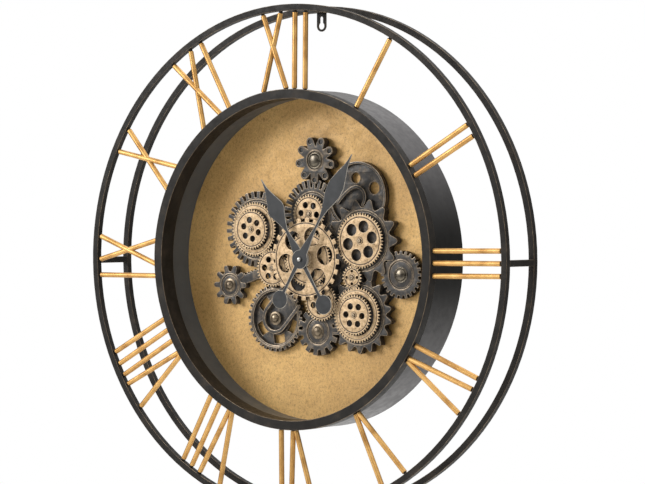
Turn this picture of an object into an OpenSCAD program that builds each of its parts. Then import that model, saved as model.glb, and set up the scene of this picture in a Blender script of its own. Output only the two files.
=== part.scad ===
// Skeleton wall clock, 80 cm across, with a train of turning gears.
// The clock faces -Y, +X is to its right and +Z is up. The origin is the centre of its box.
// Angles on the face are counted clockwise from 12 o'clock.

/* [Hoops] */
// Radius of the two outer hoops
hoop_r = 400; // [380:1:420]
// Side of the square bar of the hoops and of the spacers between them
bar = 10; // [8:0.5:10]
// Depth over the bezel and the rear hoop
clock_depth = 93; // [93:1:110]
// How far the bezel stands in front of the front hoop
bezel_step = 5; // [4:0.5:6]

/* [Drum] */
// Outer radius of the bezel
bezel_r = 267; // [264:1:268]
// Width of the face of the bezel
bezel_w = 15; // [13:0.5:16]
// Depth of the outer side of the bezel
bezel_h = 17.5; // [15:0.5:20]
// Depth of the bezel's inner flange
flange_h = 31; // [25:1:34]
// Thickness of the flange
flange_t = 2; // [1:0.5:3]
// Thickness of the drum sheet and of the liner
sheet_t = 1.5; // [1:0.1:1.5]

/* [Numerals] */
// Diameter of the rods of the numerals
rod_d = 8.4; // [6:0.2:9]

/* [Gear train] */
// Module of the fine gears
module_fine = 1.625; // [1.6:0.005:1.63]
// Teeth of the large fine gears
teeth_large = 52; // [50:1:52]
// Teeth of the gears that mesh with the centre wheel
teeth_small = 36; // [34:1:36]
// Teeth of the idler pinion
teeth_idler = 21; // [20:1:21]
// Teeth of the small front gears
teeth_front = 38; // [36:1:38]
// Teeth of the coarse centre gear
teeth_coarse = 24; // [20:1:26]
// Tip radius of the coarse centre gear
coarse_r = 65; // [62:0.5:65]
// Thickness of a turning gear
gear_t = 4; // [3:0.5:4]

/* [Hands] */
// Length of the minute hand from the centre
minute_len = 192; // [180:1:196]
// Length of the hour hand from the centre
hour_len = 148; // [140:1:152]
// Direction of the minute hand
minute_at = 31.3; // [0:0.1:360]
// Direction of the hour hand
hour_at = 328.3; // [0:0.1:360]

/* [Hanger] */
// Radius of the round end of the keyhole
keyhole_r = 5.5; // [5:0.1:6]
// Width of the slot of the keyhole
keyhole_slot = 6; // [5:0.1:6.5]

/* [Hidden] */
$fn = 96;

front_y = -clock_depth / 2;
rear_y = clock_depth / 2;
ring_front_y = front_y + bezel_step;
bar_half = bar / 2;
eps = 0.01;

// Drum radii
bezel_in_r = bezel_r - bezel_w;
bezel_rear_y = front_y + bezel_h;
wall_r = bezel_r - 1;
wall_in_r = wall_r - sheet_t;
liner_r = bezel_in_r + 4;
liner_t = 1.2;
dial_r = wall_in_r - 0.1;
dial_y = 29.5;
dial_t = 1.5;
dial_back_y = dial_y + dial_t;
bezel_facets = 180;

// Layers of the gears, front face first
coarse_y = 0.5;
layer_y = 7.5;
layer_front_y = 0;
dark_y = 14.5;
plate_t = 2;
plate_y = dial_y - plate_t;

// Radii of shafts and of the holes that turn on them
post_r = 2.5;
fit = 0.05;
bush_r = 4;
hour_tube_r = 2.5;
arbor_r = 1.5;
sleeve_r = 6;

// Hands
boss_r = 15.2;
hand_t = 1.5;
minute_y = -14.5;
hour_y = -11.5;
hand_tip_w = 0.9;

// Metal colours
iron = "dimgray";
gold = "goldenrod";
pale = "burlywood";
dark = "darkslategray";

// ---------------------------------------------------------------- places of the gears

function polar(r, a) = [r * sin(a), r * cos(a)];
function pitch_r(teeth) = module_fine * teeth / 2;
function spacing(t1, t2) = pitch_r(t1) + pitch_r(t2);

// Rest angle of a gear that meshes with one already placed. The gap between two of its
// teeth faces a tooth of the driver on the line of centres, which points at angle dir.
function mesh(phase, t_driver, t_driven, dir) =
  dir + 180 + 180 / t_driven - (phase - dir) * t_driver / t_driven;

upper_dir = 1.4;
left_dir = -102;
lower_dir = 159.6;
left_pair_dir = -30.7;
right_pair_dir = 105.6;
idler_dir = -8.8;
right_dir = 14.8;

upper_at = polar(spacing(teeth_large, teeth_small), upper_dir);
left_at = polar(spacing(teeth_large, teeth_small), left_dir);
lower_at = polar(spacing(teeth_large, teeth_small), lower_dir);
left_pair_at = left_at + polar(spacing(teeth_small, teeth_large), left_pair_dir);
right_pair_at = lower_at + polar(spacing(teeth_small, teeth_large), right_pair_dir);
idler_at = right_pair_at + polar(spacing(teeth_large, teeth_idler), idler_dir);
right_at = idler_at + polar(spacing(teeth_idler, teeth_large), right_dir);

centre_phase = 0;
upper_phase = mesh(centre_phase, teeth_large, teeth_small, upper_dir);
left_phase = mesh(centre_phase, teeth_large, teeth_small, left_dir);
lower_phase = mesh(centre_phase, teeth_large, teeth_small, lower_dir);
left_pair_phase = mesh(left_phase, teeth_small, teeth_large, left_pair_dir);
right_pair_phase = mesh(lower_phase, teeth_small, teeth_large, right_pair_dir);
idler_phase = mesh(right_pair_phase, teeth_large, teeth_idler, idler_dir);
right_phase = mesh(idler_phase, teeth_idler, teeth_large, right_dir);

// Dark gears: place, teeth, root radius, tip radius, direction of one tooth
top_at = [8.5, 156];
comb_at = upper_at;
crescent_at = [88, 100];
star_at = right_at;
east_at = [170.5, -22.5];
south_at = right_pair_at;
bottom_at = [14.5, -114];
window_at = [-71, -95];
west_at = [-161, -43.5];
north_at = left_pair_at;

// Dark gears overlap in plan: each is cut back by this much from the one that lies over it
gap = 0.4;

// ---------------------------------------------------------------- outlines on the face

// Straight-sided teeth. root_w and tip_w are shares of the pitch. All outlines run
// anticlockwise.
function teeth_outline(teeth, root, tip, root_w, tip_w, phase) = [
  for (i = [0 : teeth - 1])
    let (a = phase - i * 360 / teeth, p = 180 / teeth)
      each [
        polar(root, a + root_w * p), polar(tip, a + tip_w * p),
        polar(tip, a - tip_w * p), polar(root, a - root_w * p)
      ]
];

// Round-ended teeth of half width w
function lobe_outline(teeth, root, tip, w, phase) = [
  for (i = [0 : teeth - 1])
    let (a = phase - i * 360 / teeth, half = asin(w * 1.1 / root))
      each concat(
        [polar(root, a + half)],
        [for (k = [90 : -30 : -90]) polar(tip - w, a) + polar(w, a + k)],
        [polar(root, a - half)]
      )
];

// Teeth with rounded points and a round gap between them
function star_outline(teeth, root, tip, phase, grow = 0) = [
  for (i = [0 : teeth - 1])
    let (a = phase - i * 360 / teeth, p = 180 / teeth, depth = tip - root)
      each [
        polar(root + grow + depth * 0.06, a + 0.78 * p - grow / 3),
        polar(root + depth * 0.35, a + 0.56 * p + grow),
        polar(root + depth * 0.7, a + 0.36 * p + grow),
        polar(tip + grow - depth * 0.08, a + 0.2 * p + grow / 2),
        polar(tip + grow, a + 0.06 * p),
        polar(tip + grow, a - 0.06 * p),
        polar(tip + grow - depth * 0.08, a - 0.2 * p - grow / 2),
        polar(root + depth * 0.7, a - 0.36 * p - grow),
        polar(root + depth * 0.35, a - 0.56 * p - grow),
        polar(root + grow + depth * 0.06, a - 0.78 * p + grow / 3),
        polar(root + grow, a - p)
      ]
];

comb_root = 41.5;
comb_tip = 54.5;
crescent_r = 54;

// Outlines of the dark gears, with grow for the cut that one leaves in its neighbour
function top_outline(grow = 0) = lobe_outline(9, 22 + grow, 38 + grow, 6.8 + grow, 22);
function comb_outline() = teeth_outline(30, comb_root, comb_tip, 0.5, 0.44, 4);
function star_wheel(grow = 0) = star_outline(14, 52, 65.5, 12.5, grow);
function south_wheel(grow = 0) = star_outline(18, 50.5, 61, 19.3, grow);
function bottom_outline(grow = 0) =
  teeth_outline(14, 29.5 + grow, 38.5 + grow, 0.62 + grow / 8, 0.5 + grow / 8, 8);
function north_outline() = teeth_outline(30, 51, 61, 0.6, 0.5, 3);
function east_outline() = teeth_outline(24, 32.5, 37.5, 0.6, 0.5, 0);
function window_outline() = teeth_outline(32, 49, 53.5, 0.6, 0.5, 0);
function west_outline() = lobe_outline(10, 22, 32.5, 4.2, 19);

// ---------------------------------------------------------------- solids

// A flat outline on the face, made into a slab from y0 (front) to y1 (back)
module slab(y0, y1) {
  translate([0, y1, 0])
    rotate([90, 0, 0])
      linear_extrude(y1 - y0)
        children();
}

module rod_y(r, y0, y1) {
  translate([0, y1, 0])
    rotate([90, 0, 0])
      cylinder(r = r, h = y1 - y0);
}

module tube_y(r_out, r_in, y0, y1) {
  difference() {
    rod_y(r_out, y0, y1);
    rod_y(r_in, y0 - 1, y1 + 1);
  }
}

// Moves a piece to a point of the face, given as [x, z]
module at(p) {
  translate([p[0], 0, p[1]])
    children();
}

// Turns a piece clockwise on the face
module clockwise(a) {
  rotate([0, a, 0])
    children();
}

// n round holes or bosses on a circle
module on_circle(n, r, first) {
  for (i = [0 : n - 1])
    at(polar(r, first + i * 360 / n))
      children();
}

module hoop(y0) {
  difference() {
    rod_y(hoop_r, y0, y0 + bar, $fn = bezel_facets);
    rod_y(hoop_r - bar, y0 - 1, y0 + bar + 1, $fn = bezel_facets);
  }
}

module front_ring() {
  color(iron)
    hoop(ring_front_y);
}

module rear_ring() {
  color(iron)
    hoop(rear_y - bar);
}

// Square bars that hold the two hoops apart; the left one sits a little below the middle
module ring_spacers() {
  for (a = [0, 90.25, 180, 269.3])
    color(iron)
      clockwise(a)
        translate([-bar_half, ring_front_y + bar, hoop_r - bar + 0.2])
          cube([bar, rear_y - ring_front_y - 2 * bar, bar - 0.4]);
}

// Keyhole plate welded behind the top of the rear hoop's inner side
module hanger_plate() {
  plate_w = 18;
  thick = 2;
  hole_z = hoop_r - bar - 20.5;
  slot_top = hole_z + 15;
  foot = 0.5 * plate_w;
  color(iron)
    difference() {
      union() {
        at([0, hole_z])
          rod_y(foot, rear_y - thick, rear_y);
        translate([-foot, rear_y - thick, hole_z])
          cube([plate_w, thick, 24]);
      }
      at([0, hole_z])
        rod_y(keyhole_r, rear_y - thick - 1, rear_y + 1);
      translate([-keyhole_slot / 2, rear_y - thick - 1, hole_z])
        cube([keyhole_slot, thick + 2, slot_top - keyhole_slot / 2 - hole_z]);
      at([0, slot_top - keyhole_slot / 2])
        rod_y(keyhole_slot / 2, rear_y - thick - 1, rear_y + 1);
      rear_hoop_space();
    }
}

// Keeps the hanger plate inside the rear hoop
module rear_hoop_space() {
  difference() {
    rod_y(hoop_r, rear_y - bar, rear_y + 1, $fn = bezel_facets);
    rod_y(hoop_r - bar, rear_y - bar - 1, rear_y + 2, $fn = bezel_facets);
  }
}

// Square section with a thin flange that reaches back inside
module bezel() {
  flange_r = bezel_in_r + flange_t;
  color(iron)
    difference() {
      union() {
        rod_y(bezel_r, front_y, bezel_rear_y, $fn = bezel_facets);
        rod_y(flange_r, front_y, front_y + flange_h, $fn = bezel_facets);
      }
      rod_y(bezel_in_r, front_y - 1, rear_y, $fn = bezel_facets);
    }
}

module drum_wall() {
  color("slategray")
    difference() {
      rod_y(wall_r, bezel_rear_y, rear_y, $fn = bezel_facets);
      rod_y(wall_in_r, bezel_rear_y - 1, rear_y + 1, $fn = bezel_facets);
    }
}

module dial_liner() {
  color("slategray")
    difference() {
      rod_y(liner_r + liner_t, bezel_rear_y, dial_y, $fn = bezel_facets);
      rod_y(liner_r, bezel_rear_y - 1, dial_y + 1, $fn = bezel_facets);
    }
}

screw_count = 6;
tab_lip = 1.3;
screw_circle = wall_in_r - tab_lip - 3;
screw_r = 2;

module dial_plate() {
  color(gold)
    difference() {
      rod_y(dial_r, dial_y, dial_back_y, $fn = bezel_facets);
      rod_y(bush_r + fit, dial_y - 1, dial_back_y + 1);
      at(upper_at)
        rod_y(post_r + 0.1, dial_y - 1, dial_back_y + 1);
      for (p = post_places)
        at(p)
          rod_y(post_r, dial_y - 1, dial_back_y + 1);
      on_circle(screw_count, screw_circle, 30)
        rod_y(screw_r, dial_y - 1, dial_back_y + 1);
    }
}

// ---------------------------------------------------------------- numerals

// Each rod of a numeral, from its foot at the bezel to its head at the front hoop: how far
// both ends stand to the clockwise side of the hour's own line
function numeral_rods(hour) =
  hour == 1 ? [[-10, -8]] :
  hour == 2 ? [[-14, -15], [4, 5]] :
  hour == 3 ? [[-16, -17], [2.5, 2], [22, 21]] :
  hour == 4 ? [[-6, -22], [17, -3], [22, 43]] :
  hour == 5 ? [[6, -25], [11, 24]] :
  hour == 6 ? [[-10, -46], [-5, 0], [18.5, 18.5]] :
  hour == 7 ? [[-21, -60], [-16, -14], [7, 5], [27, 24]] :
  hour == 8 ? [[-25, -60], [-20, -14], [3, 3], [22, 23], [41, 44]] :
  hour == 9 ? [[-29, -29], [-11, 36], [29, -4]] :
  hour == 10 ? [[-28, 17], [15, -25]] :
  hour == 11 ? [[-45, -6], [-4, -49], [15, 17]] :
  [[-52, -20], [-8, -57], [7, 7], [28, 28]];

// A round rod lying along the face between two points [across, up]
module rod_between(a, b) {
  d = b - a;
  translate([a[0], 0, a[1]])
    rotate([0, atan2(d[0], d[1]), 0])
      cylinder(d = rod_d, h = norm(d), $fn = 32);
}

// The rods are cut to the rounds of the bezel and of the hoop that they are welded to
module numeral(hour) {
  rod_y0 = ring_front_y + bar_half;
  foot_z = bezel_r - 14;
  head_z = hoop_r - bar + 6;
  reach = head_z - foot_z;
  inner = hoop_r - bar - bezel_r;
  color(gold)
    intersection() {
      clockwise(30 * hour)
        translate([0, rod_y0, 0])
          for (rod = numeral_rods(hour)) {
            slope = (rod[1] - rod[0]) / inner;
            rod_between(
              [rod[0] - 14 * slope, foot_z],
              [rod[0] + (reach - 14) * slope, head_z]
            );
          }
      difference() {
        rod_y(hoop_r - bar, rod_y0 - bar, rod_y0 + bar, $fn = bezel_facets);
        rod_y(bezel_r, rod_y0 - bar - 1, rod_y0 + bar + 1, $fn = bezel_facets);
      }
    }
}

module numeral_1() { numeral(1); }
module numeral_2() { numeral(2); }
module numeral_3() { numeral(3); }
module numeral_4() { numeral(4); }
module numeral_5() { numeral(5); }
module numeral_6() { numeral(6); }
module numeral_7() { numeral(7); }
module numeral_8() { numeral(8); }
module numeral_9() { numeral(9); }
module numeral_10() { numeral(10); }
module numeral_11() { numeral(11); }
module numeral_12() { numeral(12); }

// ---------------------------------------------------------------- dark gears

post_places = [left_at, lower_at, left_pair_at, right_pair_at, idler_at, right_at];
post_clear = post_r + 1;

// Clears the posts and the drive shaft out of a dark gear
module post_holes() {
  for (p = post_places)
    at(p)
      rod_y(post_clear, dark_y - 10, dial_y + 1);
  at(upper_at)
    rod_y(post_clear, dark_y - 10, dial_y + 1);
}

// A straight band of width w from a to b
function band(a, b, w) =
  let (d = b - a, side = [d[1], -d[0]] * w / (2 * norm(d)))
    [a + side, b + side, b - side, a - side];

// Sheet under the dark gears. Discs under the gears, and bands out to the ones that stand
// apart.
module gear_backplate() {
  discs = [
    [[0, 0], 62], [upper_at, 38], [left_at, 26], [lower_at, 30], [left_pair_at, 46],
    [right_pair_at, 45], [idler_at, 26], [right_at, 46], [window_at, 24],
    [top_at, 18], [east_at, 26], [bottom_at, 26]
  ];
  bands = [[window_at, [0, 0], 30], [top_at, upper_at, 24], [east_at, right_pair_at, 30]];
  color(dark)
    difference() {
      slab(plate_y, dial_y)
        union() {
          for (d = discs)
            translate(d[0])
              circle(r = d[1]);
          for (b = bands)
            polygon(band(b[0], b[1], b[2]));
        }
      rod_y(bush_r + 7, plate_y - 1, dial_y + 1);
      for (p = post_places)
        at(p)
          rod_y(post_r, plate_y - 1, dial_y + 1);
      at(upper_at)
        rod_y(post_clear, plate_y - 1, dial_y + 1);
    }
}

// A gear outline with a raised circle on its face
module dark_wheel(y0, ring_r, ring_h = 1, ring_w = 2) {
  slab(y0, plate_y)
    children();
  tube_y(ring_r, ring_r - ring_w, y0 - ring_h, y0 + eps);
}

module dark_top() {
  color(dark)
    difference() {
      at(top_at)
        dark_wheel(dark_y, 17)
          polygon(top_outline());
      at(comb_at)
        slab(dark_y - 5, dial_y)
          circle(r = comb_root + gap);
    }
}

module dark_comb() {
  color(dark)
    difference() {
      at(comb_at)
        dark_wheel(dark_y + 2, comb_root - 1)
          polygon(comb_outline());
      at(crescent_at)
        rod_y(crescent_r + gap, dark_y - 5, dial_y);
      at(top_at)
        slab(dark_y, dial_y)
          polygon(top_outline(gap));
      at(star_at)
        slab(dark_y, dial_y)
          polygon(star_wheel(gap));
      post_holes();
    }
}

// Round plate with a raised rim, two visible holes and a curled rib
module dark_crescent() {
  plate_front = dark_y + 8;
  rim_y = dark_y + 2.5;
  rim_w = 4;
  eyes = [[-6, 28, 8.6], [29, 12, 9.8]];
  color(dark)
    difference() {
      at(crescent_at) {
        rod_y(crescent_r, plate_front, plate_y);
        tube_y(crescent_r, crescent_r - rim_w, rim_y, plate_front + eps);
        difference() {
          tube_y(21, 16, rim_y, plate_front + eps);
          translate([-30, rim_y - 1, -30])
            cube([60, plate_front - rim_y + 3, 30]);
        }
      }
      for (eye = eyes)
        at(crescent_at + [eye[0], eye[1]])
          rod_y(eye[2], rim_y - 1, dial_y);
      at(star_at)
        slab(dark_y, dial_y)
          polygon(star_wheel(gap));
      at(top_at)
        slab(dark_y, dial_y)
          polygon(top_outline(gap));
      post_holes();
    }
}

module dark_star() {
  color(dark)
    difference() {
      at(star_at)
        dark_wheel(dark_y, 49)
          polygon(star_wheel());
      post_holes();
    }
}

module dark_right() {
  color(dark)
    difference() {
      at(east_at)
        dark_wheel(dark_y + 3, 24.5)
          polygon(east_outline());
      at(star_at)
        slab(dark_y, dial_y)
          polygon(star_wheel(gap));
      at(south_at)
        slab(dark_y, dial_y)
          polygon(south_wheel(gap));
    }
}

module dark_lower() {
  color(dark)
    difference() {
      at(south_at)
        dark_wheel(dark_y, 48)
          polygon(south_wheel());
      at(star_at)
        slab(dark_y - 5, dial_y)
          polygon(star_wheel(gap));
      at(bottom_at)
        slab(dark_y - 5, dial_y)
          polygon(bottom_outline(gap));
      post_holes();
    }
}

module dark_bottom() {
  color(dark)
    difference() {
      at(bottom_at)
        dark_wheel(dark_y, 22.5)
          polygon(bottom_outline());
      post_holes();
    }
}

// Curved window of the rim wheel, between radii r0 and r1, in direction a
module window_hole(r0, r1, a) {
  window_w = 21;
  intersection() {
    difference() {
      circle(r = r1);
      circle(r = r0);
    }
    rotate(-a)
      translate([-window_w / 2, 0])
        square([window_w, r1 + 1]);
  }
}

// Rim wheel with four windows, and a strap round its hub
module dark_window() {
  rim_y = dark_y + 2;
  web_y = rim_y + 1.5;
  web_r = 43;
  strap_r = 25;
  strap_w = 6;
  strap_len = 46;
  color(dark)
    difference() {
      union() {
        at(window_at) {
          slab(rim_y, plate_y)
            difference() {
              polygon(window_outline());
              circle(r = web_r);
            }
          tube_y(47.5, 45.5, rim_y - 1, rim_y + eps);
          slab(web_y, plate_y)
            difference() {
              circle(r = web_r + 0.5);
              for (a = [112, 172, 240, 312])
                window_hole(27, 40.5, a);
            }
        }
        at(window_at)
          clockwise(42)
            slab(rim_y - 1, web_y + 0.5)
              difference() {
                union() {
                  circle(r = strap_r);
                  translate([-strap_r, 0])
                    square([2 * strap_r, strap_len]);
                }
                circle(r = strap_r - strap_w);
                translate([strap_w - strap_r, 0])
                  square([2 * (strap_r - strap_w), strap_len + 1]);
              }
      }
      at(bottom_at)
        slab(dark_y - 5, dial_y)
          polygon(bottom_outline(gap));
      post_holes();
    }
}

// Small wheel with a toothed arm that reaches under the left gear
module dark_left() {
  arm_y = dark_y + 3;
  arm_len = 80;
  color(dark)
    difference() {
      union() {
        at(west_at)
          dark_wheel(dark_y + 2, 19.5)
            polygon(west_outline());
        at(west_at)
          clockwise(72)
            slab(arm_y, plate_y)
              polygon(concat(
                [[7, 20], [7, arm_len], [-7, arm_len]],
                [for (i = [6 : -1 : 0]) each [[-7, 27 + 7 * i], [-10, 25 + 7 * i], [-7, 22 + 7 * i]]]
              ));
      }
      at(left_at)
        slab(arm_y - 1, dial_y)
          circle(r = 27);
      at(north_at)
        rod_y(61 + gap, dark_y, dial_y);
      at(window_at)
        slab(arm_y - 1, dial_y)
          circle(r = 54);
    }
}

module dark_upper() {
  color(dark)
    difference() {
      at(north_at)
        dark_wheel(dark_y + 1, 49)
          polygon(north_outline());
      at(comb_at)
        rod_y(comb_tip + 2 * gap, dark_y, dial_y);
      post_holes();
    }
}

// Domed caps pressed on five of the dark gears
module dome(r, h) {
  rotate([90, 0, 0])
    rotate_extrude()
      polygon(concat([[0, 0]], [for (k = [0 : 10 : 90]) [r * cos(k), h * sin(k)]]));
}

module dome_caps() {
  color("saddlebrown") {
    at(top_at) translate([0, dark_y, 0]) dome(13, 5);
    at(east_at) translate([0, dark_y + 3, 0]) dome(13, 5);
    at(bottom_at) translate([0, dark_y, 0]) dome(12, 5);
    at(window_at) translate([0, dark_y + 3.5, 0]) dome(11, 6);
    at(west_at) translate([0, dark_y + 2, 0]) dome(11, 6);
  }
}

// ---------------------------------------------------------------- turning gears

// Fine gear outline
function fine_outline(teeth, phase) =
  teeth_outline(teeth, pitch_r(teeth) - 2.05, pitch_r(teeth) + 1.45, 0.62, 0.2, phase);

// Headed pins in the dial that the gears turn on; each ends just in front of its gear
module gear_posts() {
  tips = [
    [left_at, layer_y - 1.5], [lower_at, layer_y - 1.5], [left_pair_at, layer_front_y - 3],
    [right_pair_at, layer_front_y - 3], [idler_at, layer_y - 2], [right_at, layer_y - 3]
  ];
  color("silver")
    for (t = tips)
      at(t[0]) {
        rod_y(post_r, t[1], dial_back_y);
        rod_y(post_r + 2, dial_back_y, dial_back_y + 1.5);
      }
}

// Fine gear with round holes, a raised line and a hub that turns on its post
module fine_gear(teeth, phase, holes, hole_r, hole_circle, first_hole, line_r, hub_front) {
  bore = post_r + fit;
  hub_r = 5.2;
  hub_back = 2;
  line_w = 1.4;
  difference() {
    union() {
      slab(layer_y, layer_y + gear_t)
        polygon(fine_outline(teeth, phase));
      tube_y(line_r, line_r - line_w, layer_y - 0.5, layer_y + eps);
      rod_y(hub_r, layer_y - hub_front, layer_y + gear_t + hub_back);
    }
    on_circle(holes, hole_circle, first_hole)
      rod_y(hole_r, layer_y - 2, layer_y + gear_t + 1);
    rod_y(bore, layer_y - 5, layer_y + gear_t + 5);
  }
}

module upper_gear() {
  color(pale)
    at(upper_at)
      fine_gear(teeth_small, upper_phase, 6, 5.2, 15.2, 35, 26, 1);
}

module left_gear() {
  color(pale)
    at(left_at)
      fine_gear(teeth_small, left_phase, 6, 5.2, 15.2, -28, 26, 1);
}

module lower_gear() {
  color(pale)
    at(lower_at)
      fine_gear(teeth_small, lower_phase, 6, 5.2, 15.2, 10, 26, 1);
}

module right_gear() {
  color(pale)
    at(right_at)
      fine_gear(teeth_large, right_phase, 6, 9.5, 23.2, 17, 37, 1.6);
}

module idler_gear() {
  color(pale)
    at(idler_at)
      fine_gear(teeth_idler, idler_phase, 4, 2.7, 10, 0, 14.6, 1);
}

// Ring gear of a pair: toothed rim on three spokes, open round the front gear
module ring_gear(phase) {
  rim_in = 32.5;
  bore = post_r + fit;
  difference() {
    union() {
      slab(layer_y, layer_y + gear_t)
        difference() {
          polygon(fine_outline(teeth_large, phase));
          circle(r = rim_in);
        }
      tube_y(37, 34.5, layer_y - 1, layer_y + eps);
      rod_y(8, layer_y, layer_y + gear_t);
      slab(layer_y + 2, layer_y + gear_t)
        for (a = [30, 150, 270])
          rotate(-a)
            translate([-3, 0])
              square([6, rim_in + 1]);
    }
    rod_y(bore, layer_y - 5, layer_y + gear_t + 5);
  }
}

// Front gear of a pair. Its hub reaches back to the ring gear.
module front_gear(phase, first_hole) {
  y1 = layer_front_y + gear_t;
  difference() {
    union() {
      slab(layer_front_y, y1)
        polygon(fine_outline(teeth_front, phase));
      rod_y(8, y1 - eps, layer_y);
      rod_y(4.6, layer_front_y - 1.5, y1);
    }
    on_circle(6, 15.2, first_hole)
      rod_y(5.2, layer_front_y - 1, y1 + 1);
    rod_y(post_r + fit, layer_front_y - 5, layer_y + 1);
  }
}

module left_ring_gear() {
  color(pale)
    at(left_pair_at)
      ring_gear(left_pair_phase);
}

module right_ring_gear() {
  color(pale)
    at(right_pair_at)
      ring_gear(right_pair_phase);
}

module left_front_gear() {
  color(pale)
    at(left_pair_at)
      front_gear(2, 48);
}

module right_front_gear() {
  color(pale)
    at(right_pair_at)
      front_gear(2, 33);
}

// Coarse gear under the hands
module centre_gear() {
  color(pale)
    difference() {
      union() {
        slab(coarse_y, coarse_y + gear_t)
          polygon(teeth_outline(teeth_coarse, coarse_r - 6, coarse_r, 0.52, 0.46, 3));
        tube_y(57, 55, coarse_y - 1, coarse_y + eps);
        rod_y(12, coarse_y - 1, coarse_y + gear_t);
      }
      on_circle(6, 38, 20)
        rod_y(15, coarse_y - 2, coarse_y + gear_t + 1);
      rod_y(sleeve_r, coarse_y - 2, coarse_y + gear_t + 1);
    }
}

module centre_wheel() {
  color(pale)
    difference() {
      slab(layer_y, layer_y + gear_t)
        polygon(fine_outline(teeth_large, centre_phase));
      on_circle(6, 23.2, 50)
        rod_y(9.5, layer_y - 1, layer_y + gear_t + 1);
      rod_y(sleeve_r, layer_y - 1, layer_y + gear_t + 1);
    }
}

// Tube that carries both centre gears and turns on the bush
module centre_sleeve() {
  color("silver")
    tube_y(sleeve_r, bush_r + fit, coarse_y - 2.5, 25);
}

// ---------------------------------------------------------------- works behind the dial

module dial_tabs() {
  tab_y = dial_back_y;
  color(iron)
    intersection() {
      on_circle_turned(screw_count, 30)
        difference() {
          union() {
            translate([-7, tab_y, 250])
              cube([14, 2, 20]);
            translate([-7, tab_y, wall_in_r - tab_lip])
              cube([14, 9, 6]);
          }
          at([0, screw_circle])
            rod_y(screw_r, tab_y - 1, tab_y + 3);
        }
      rod_y(wall_in_r, tab_y - 1, tab_y + 10, $fn = bezel_facets);
    }
}

module on_circle_turned(n, first) {
  for (i = [0 : n - 1])
    clockwise(first + i * 360 / n)
      children();
}

module dial_screws() {
  head_y = dial_back_y + 2;
  color("silver")
    on_circle(screw_count, screw_circle, 30) {
      rod_y(screw_r, dial_y + 0.2, head_y + eps, $fn = 24);
      rod_y(1.1, head_y, head_y + 1.6, $fn = 24);
      tube_y(2.8, 1, head_y, head_y + 1.6, $fn = 24);
    }
}

case_w = 56;
case_back_y = 44.6;
cell_r = 7.1;
cell_len = 50;
cell_y = 38.6;
cell_z = -18;
cell_box = [cell_len + 2, 16, 2 * cell_r + 0.8];

module movement_case() {
  color("dimgray")
    difference() {
      translate([-case_w / 2, dial_back_y, -case_w / 2])
        cube([case_w, case_back_y - dial_back_y, case_w]);
      rod_y(bush_r + 0.4, dial_back_y - 1, 38);
      rod_y(arbor_r + 0.1, 37, case_back_y + 1);
      translate([-cell_box[0] / 2, dial_back_y + 0.3, cell_z - cell_box[2] / 2])
        cube(cell_box);
    }
}

module shaft_bush() {
  color("gold")
    tube_y(bush_r, hour_tube_r + fit, -6, dial_back_y + 3);
}

module bush_nut() {
  color("gold")
    difference() {
      rod_y(8, 25.6, dial_y, $fn = 6);
      rod_y(bush_r, 24, dial_y + 1);
    }
}

module motor_case() {
  color("dimgray")
    at(upper_at)
      difference() {
        translate([-20, dial_back_y, -12])
          cube([40, 13.5, 34]);
        rod_y(post_r + fit, dial_back_y - 1, 41);
      }
}

box_at = [0, -120];

module battery_box() {
  color("dimgray")
    at(box_at)
      difference() {
        translate([-31, dial_back_y, -18])
          cube([62, 13.6, 36]);
        for (side = [-1, 1])
          translate([-cell_box[0] / 2, dial_back_y + 0.3, side * 8.6 - cell_box[2] / 2])
            cube(cell_box);
      }
}

module cell() {
  translate([-cell_len / 2, cell_y, 0])
    rotate([0, 90, 0]) {
      cylinder(r = cell_r, h = cell_len - 1.5, $fn = 48);
      cylinder(r = 2.7, h = cell_len, $fn = 32);
    }
}

// Three like cells: one in the movement, two in the battery box
module battery_cells() {
  color("black") {
    at([0, cell_z]) cell();
    at(box_at + [0, 8.6]) cell();
    at(box_at - [0, 8.6]) cell();
  }
}

module drive_shaft() {
  color("silver")
    at(upper_at)
      rod_y(post_r, layer_y - 2, 40.5);
}

module setting_knob() {
  color("black") {
    difference() {
      rod_y(6, case_back_y + 0.3, rear_y - 0.3);
      on_circle(12, 6.4, 0)
        rod_y(0.8, case_back_y, rear_y, $fn = 16);
    }
    rod_y(arbor_r, 39, case_back_y + 1);
  }
}

// ---------------------------------------------------------------- hands

// Half widths of the blades at distances from the centre
minute_blade = [
  [0, 9], [22, 6.8], [38, 4.2], [56, 2.3], [75, 2.4], [93, 5.8], [110, 11.8], [124, 15.2],
  [138, 14.8], [155, 9.6], [170, 4.4], [181, 2.1], [minute_len, hand_tip_w]
];
hour_blade = [
  [0, 9], [22, 7.4], [40, 4], [54, 2.8], [67, 6.6], [79, 11.8], [88, 16], [96, 16.2],
  [106, 12.2], [121, 6], [131, 2.9], [139, 1.7], [hour_len, hand_tip_w]
];

// A hand: boss, blade, narrow tail and counterweight disc, with a hole for its shaft
module hand(blade, tail, disc_r, y0, hole_r) {
  slab(y0, y0 + hand_t)
    difference() {
      union() {
        polygon(concat(
          [for (b = blade) [b[1], b[0]]],
          [for (i = [len(blade) - 1 : -1 : 0]) [-blade[i][1], blade[i][0]]]
        ));
        circle(r = boss_r);
        translate([0, -tail])
          circle(r = disc_r);
        polygon([
          [4.5, 0], [-4.5, 0], [-2.6, -tail * 0.6], [-3.6, -tail], [3.6, -tail], [2.6, -tail * 0.6]
        ]);
      }
      circle(r = hole_r);
    }
}

module hour_hand() {
  color("slategray")
    clockwise(hour_at)
      hand(hour_blade, 83, 15.4, hour_y, hour_tube_r);
}

module minute_hand() {
  color("slategray")
    clockwise(minute_at)
      hand(minute_blade, 74.5, 14.6, minute_y, arbor_r);
}

module hour_tube() {
  color("silver")
    tube_y(hour_tube_r, arbor_r + fit, hour_y - 0.8, dial_back_y + 4);
}

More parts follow.
